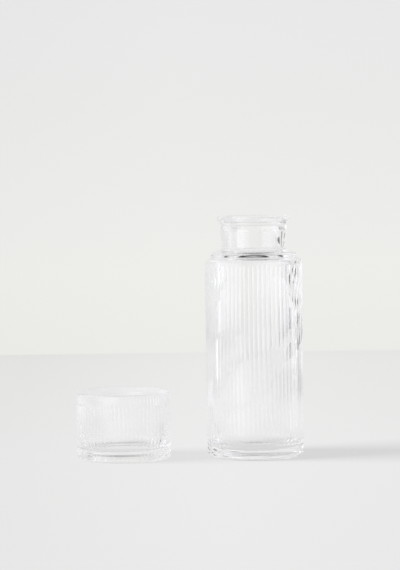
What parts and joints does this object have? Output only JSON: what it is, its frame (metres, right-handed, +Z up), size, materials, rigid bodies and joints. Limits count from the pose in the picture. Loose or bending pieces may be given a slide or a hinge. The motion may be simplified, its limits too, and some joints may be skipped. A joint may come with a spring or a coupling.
{
  "type": "bedside carafe with tumbler",
  "caption": "Ribbed clear-glass bedside carafe with a stepped shoulder and flared lip, and a low ribbed tumbler that turns over to sit on its collar as a lid.",
  "frame": {"origin": "middle of the carafe's foot, on the surface that it stands on", "axes": "+Z up along the carafe's axis, +X from the tumbler towards the carafe, -Y towards the viewer"},
  "size_m": [0.1919, 0.0867, 0.2025],
  "materials": {
    "carafe_glass": "clear glass, fire-polished, with fine upright ribs",
    "tumbler_glass": "clear glass, fire-polished, with fine upright ribs"
  },
  "bodies": {
    "carafe": {"carafe": "carafe_glass"},
    "tumbler": {"tumbler": "tumbler_glass"}
  },
  "joints": [
    {"name": "tumbler_lift", "type": "slide", "parent": "carafe", "child": "tumbler", "axis": [0, 0, 1], "range_m": [0, 0.22]}
  ]
}
